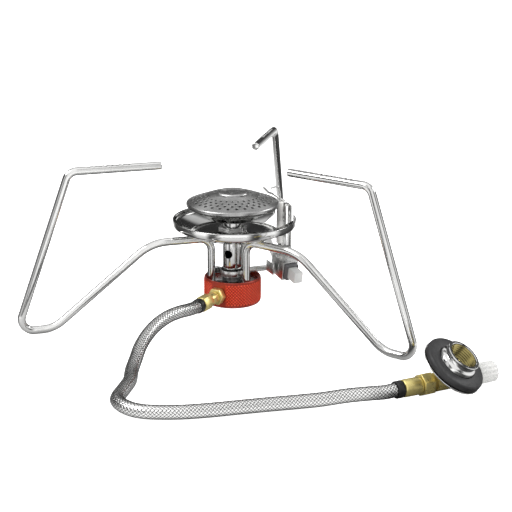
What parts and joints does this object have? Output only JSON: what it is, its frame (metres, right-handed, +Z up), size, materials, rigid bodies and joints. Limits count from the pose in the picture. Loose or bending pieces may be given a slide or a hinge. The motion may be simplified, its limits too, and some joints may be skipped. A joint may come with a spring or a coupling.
{
  "type": "canister stove",
  "caption": "Low remote canister stove: burner on folding wire legs, piezo igniter, braided hose and a screw-on canister valve.",
  "frame": {"origin": "on the ground under the middle of the stove's outline, the hose and the valve on its end left out", "axes": "+Z up; the back leg points along +Y; +X is to the right across the two front legs; the hose's valve lies towards +X and -Y"},
  "size_m": [0.2329, 0.2492, 0.082],
  "materials": {
    "polished_stainless": "mirror-bright polished stainless steel",
    "stainless_sheet": "satin stainless sheet, faintly brushed",
    "dark_steel": "dull dark steel",
    "red_anodised_aluminium": "red anodised, diamond knurled",
    "brass": "bright turned brass, slightly green-yellow",
    "black_rubber": "charcoal rubber with a soft sheen",
    "white_ceramic": "white glazed ceramic",
    "grey_plastic": "mid grey moulded plastic",
    "pale_plastic": "pale grey moulded plastic",
    "clear_plastic": "milky translucent ribbed plastic",
    "wire_braid": "bright fine steel wire braid"
  },
  "bodies": {
    "stove": {"hub_body": "red_anodised_aluminium", "hub_plate": "stainless_sheet", "neck_nut": "dark_steel", "jet": "brass", "mixing_tube": "stainless_sheet", "tray": "polished_stainless", "tray_nut": "stainless_sheet", "burner_cup": "polished_stainless", "burner_cap": "stainless_sheet", "flame_gauze": "dark_steel", "inlet_nut": "brass", "inlet_body": "brass", "hub_ferrule": "brass", "hub_sleeve": "black_rubber", "igniter_strap": "stainless_sheet", "clamp_screw": "dark_steel", "igniter_bracket": "stainless_sheet", "ceramic_insulator": "white_ceramic", "electrode": "dark_steel", "ground_wire": "dark_steel", "spark_lead": "black_rubber", "piezo_body": "grey_plastic", "piezo_holder": "stainless_sheet", "button_spring": "dark_steel", "valve_body": "brass", "valve_plate": "polished_stainless", "valve_pad": "black_rubber", "valve_collar": "polished_stainless", "thread_insert": "brass", "canister_seal": "black_rubber", "opening_pin": "brass", "valve_nut": "brass", "valve_ferrule": "brass", "valve_sleeve": "black_rubber", "gland_nut": "brass", "hose": "wire_braid"},
    "leg_left_body": {"leg_left": "polished_stainless", "leg_clip_left": "dark_steel"},
    "leg_right_body": {"leg_right": "polished_stainless", "leg_clip_right": "dark_steel"},
    "leg_back_body": {"leg_back": "polished_stainless", "leg_clip_back": "dark_steel"},
    "button": {"piezo_button": "pale_plastic"},
    "knob": {"spindle": "brass", "control_knob": "clear_plastic"},
    "needle_body": {"needle": "dark_steel"}
  },
  "joints": [
    {"name": "leg_left_swivel", "type": "hinge", "parent": "stove", "child": "leg_left_body", "pos_m": [-0.01342, -0.02983, 0.0412], "axis": [0, 0, 1], "range_deg": [-122, 34]},
    {"name": "leg_right_swivel", "type": "hinge", "parent": "stove", "child": "leg_right_body", "pos_m": [0.00519, -0.03179, 0.0412], "axis": [0, 0, 1], "range_deg": [-58, 66]},
    {"name": "leg_back_swivel", "type": "hinge", "parent": "stove", "child": "leg_back_body", "pos_m": [-0.00076, -0.01501, 0.0412], "axis": [0, 0, 1], "range_deg": [-58, 120]},
    {"name": "button_press", "type": "slide", "parent": "stove", "child": "button", "axis": [-0.6766, 0.7155, 0.1736], "range_m": [0, 0.004], "stiffness_N_per_m": 2500, "springref_m": -0.001},
    {"name": "knob_turn", "type": "hinge", "parent": "stove", "child": "knob", "pos_m": [0.12616, -0.08827, 0.0054], "axis": [0.7478, 0.6639, 0], "range_deg": [0, 450]},
    {"name": "needle_lift", "type": "slide", "parent": "stove", "child": "needle_body", "axis": [0.7478, 0.6639, 0], "range_m": [0, 0.0009]}
  ],
  "couplings": [
    {"joint": "needle_lift", "follows": "knob_turn", "m_per_rad": 0.000114}
  ]
}
